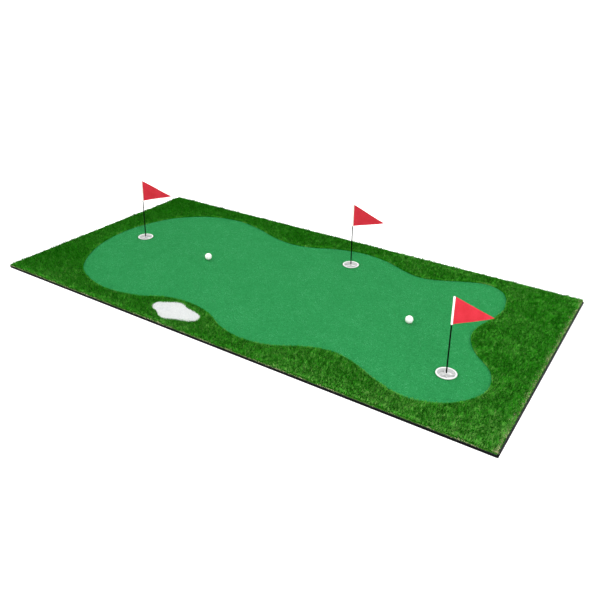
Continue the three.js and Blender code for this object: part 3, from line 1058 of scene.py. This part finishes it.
def swelling(row, rows, share):
    """Half the cloth's thickness: doubled in the hems along the edges and the hoist."""
    in_hem = row < 3 or row >= rows - 3 or share < HEM / FLAG_LENGTH
    edge = row in (0, rows - 1)
    return FLAG_THICKNESS / 2 * (0.6 if edge else 1.9 if in_hem else 1.0)


def flag(side):
    shares = np.concatenate([[0, 0.01, (HEM - 0.5 * MM) / FLAG_LENGTH, HEM / FLAG_LENGTH],
                             np.linspace(0.05, 0.99, 56)])
    points, cloth = [], []
    for face in (1, -1):
        for share in shares:
            half = FLAG_HOIST / 2 * (1 - share) + 0.4 * MM
            rows = hem_rows(half)
            for row, up in enumerate(rows):
                thick = swelling(row, len(rows), share)
                points.append(flag_point(side, share, up, face * thick))
                cloth.append((share * FLAG_LENGTH, up))
    across, down = len(shares), len(rows)
    grid = np.arange(across * down).reshape(across, down)
    a, b, c, d = grid[:-1, :-1], grid[1:, :-1], grid[1:, 1:], grid[:-1, 1:]
    front = np.stack([a, d, c, b], -1).reshape(-1, 4)
    back = np.stack([a, b, c, d], -1).reshape(-1, 4) + across * down
    rim = np.concatenate([grid[:, 0], grid[-1, 1:], grid[-2::-1, -1], grid[0, -2:0:-1]])
    sides = band(rim, rim + across * down)
    quads = np.concatenate([front, back, sides])
    piece = make_object(f"flag_pennant_{side}", points, quads, uv=cloth, layer="cloth")
    finished(piece, FLAG_CLOTH, f"flag_{side}", "flag", f"flag_{side}")
    stitching = stitches(side)


def stitches(side):
    """Short raised threads along every hem, on both faces."""
    places = []
    slant = math.hypot(FLAG_LENGTH, FLAG_HOIST / 2)
    for sign in (1, -1):
        for share in np.arange(0.03, 0.9, STITCH_STEP / slant):
            half = FLAG_HOIST / 2 * (1 - share)
            up = sign * (half - STITCH_LINE * min(1, half / (14 * MM)))
            slope = -sign * (FLAG_HOIST / 2) / FLAG_LENGTH
            places.append((share, up, 1.0, slope))
    for up in np.arange(-0.42, 0.42, STITCH_STEP / FLAG_HOIST):
        places.append((STITCH_LINE / FLAG_LENGTH, up * FLAG_HOIST, 0.0, 1.0))
    points, quads = [], []
    for share, up, run, rise in places:
        size = math.hypot(run, rise)
        run, rise = run / size, rise / size
        for face in (1, -1):
            out = face * FLAG_THICKNESS / 2 * 1.9
            first = len(points)
            for at_length, width, lift in THREAD_SECTIONS:
                for sideways, raised in ((-1, 0), (-0.5, 1), (0.5, 1), (1, 0)):
                    s = share + (at_length * run - sideways * width * rise) * MM / FLAG_LENGTH
                    u = up + (at_length * rise + sideways * width * run) * MM
                    points.append(flag_point(side, s, u, out + face * (lift * raised - 0.08) * MM))
            rings = [range(first + 4 * i, first + 4 * i + 4) for i in range(4)]
            faces = [rings[0][::-1], rings[3]]
            for a, b in zip(rings, rings[1:]):
                faces += [[a[j - 1], a[j], b[j], b[j - 1]] for j in range(4)]
            quads += [list(ring) if face > 0 else list(ring)[::-1] for ring in faces]
    piece = make_object(f"flag_stitching_{side}", points, quads)
    return finished(piece, FLAG_THREAD, f"flag_{side}", "flag")


# ---- Balls ----

DIMPLE_RADIUS = 1.85 * MM
DIMPLE_DEPTH = 0.24 * MM
DIMPLE_ROWS = 6  # dimples along each edge of an icosahedron, which gives 362 in all


def dimple_centres():
    """Unit vectors spread evenly over an icosahedron."""
    shape = bmesh.new()
    bmesh.ops.create_icosphere(shape, subdivisions=1, radius=1)
    found = set()
    for face in shape.faces:
        a, b, c = (v.co for v in face.verts)
        for i in range(DIMPLE_ROWS + 1):
            for j in range(DIMPLE_ROWS + 1 - i):
                k = DIMPLE_ROWS - i - j
                point = ((a * i + b * j + c * k) / DIMPLE_ROWS).normalized()
                found.add(tuple(round(x, 5) for x in point))
    shape.free()
    return np.array(sorted(found))


def ball(node):
    low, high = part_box(node)
    radius = (high.z - low.z) / 2
    centre = np.array((low + high) / 2)
    shape = bmesh.new()
    bmesh.ops.create_icosphere(shape, subdivisions=6, radius=1)
    around = np.array([vertex.co for vertex in shape.verts])
    faces = [[vertex.index for vertex in face.verts] for face in shape.faces]
    shape.free()
    around /= np.linalg.norm(around, axis=1, keepdims=True)
    nearest = np.clip((around @ dimple_centres().T).max(1), -1, 1)
    apart = np.arccos(nearest) * radius / DIMPLE_RADIUS
    dip = DIMPLE_DEPTH * np.clip(1 - apart ** 2, 0, 1) ** 0.8
    turn = np.array(Matrix.Rotation(0.7, 3, "X") @ Matrix.Rotation(0.4, 3, "Y"))
    points = (around * (radius - dip)[:, None]) @ turn.T + centre
    finished(make_object(f"golf_{node}", points, triangles=faces), BALL_COVER, node, "ball", node)


# ---- Putting it together ----

foam()
backing("fairway_backing_sheet", "fairway_backing",
        [respaced(MAT_EDGE, 20 * MM), GREEN_EDGE, BUNKER_EDGE], 60 * MM)
backing("green_backing_sheet", "green_backing", [GREEN_EDGE, *CUP_HOLES], 60 * MM)
backing("bunker_backing_sheet", "bunker_backing", [BUNKER_EDGE], 30 * MM)
seam_tape("green_tape_ring", "green_seam_tape")
seam_tape("bunker_tape_ring", "bunker_seam_tape")
fairway()
trimmed_row()
fringe()
green()
bunker()
for side in SIDES:
    cup(side)
    pole(side)
    sleeve(side)
    flag(side)
ball("ball_1")
ball("ball_2")

# ---- Floor and light ----


def lamp(name, kind, place, **settings):
    """A light at this place that shines on the middle of the mat."""
    data = bpy.data.lights.new(name, kind)
    for key, value in settings.items():
        setattr(data, key, value)
    made = placed(name, data)
    made.location = place
    made.rotation_euler = (-Vector(place)).to_track_quat("-Z", "Y").to_euler()


def floor_look(name, glow):
    return Look(name, Base_Color=linear("#f4f4f4"), Roughness=0.9, Specular_IOR_Level=0.1,
                Emission_Color=(1, 1, 1, 1), Emission_Strength=glow).material


def cove():
    """A pale floor that curves up all round. It glows faintly to stay white, but not under the mat."""
    flat, rise = 9.0, 3.0
    profile = [(0, -0.0005), (3.0, -0.0005), (flat, -0.0005)]
    for step in range(1, 9):
        angle = math.radians(step * 90 / 8)
        profile.append((flat + rise * math.sin(angle), rise * (1 - math.cos(angle))))
    profile.append((flat + rise, 7.0))
    floor = lathe("floor", profile[::-1], 64, Vector((0, 0, 0)))
    floor.data.materials.append(floor_look("pale_floor", 0.5))
    corners = 0.97 * np.array([[-1, -1], [1, -1], [1, 1], [-1, 1]]) * CAD_BOX[1][:2]
    points = np.column_stack([corners, np.full(4, -0.2 * MM)])
    shaded = make_object("shaded_floor", points, [[0, 1, 2, 3]])
    shaded.data.materials.append(floor_look("shaded_floor", 0.0))


def studio():
    cove()
    lamp("key_light", "SUN", (-0.75, -0.15, 1.0), angle=math.radians(50), energy=1.5)
    lamp("fill_softbox", "AREA", (5.0, -2.9, 6.6), shape="SQUARE", size=4.5, energy=235)
    world = bpy.data.worlds.new("studio")
    world.use_nodes = True
    sky = world.node_tree.nodes["Background"].inputs
    sky["Color"].default_value = (1, 1, 1, 1)
    sky["Strength"].default_value = 0.62
    bpy.context.scene.world = world
    bpy.context.scene.view_settings.view_transform = "Standard"


studio()
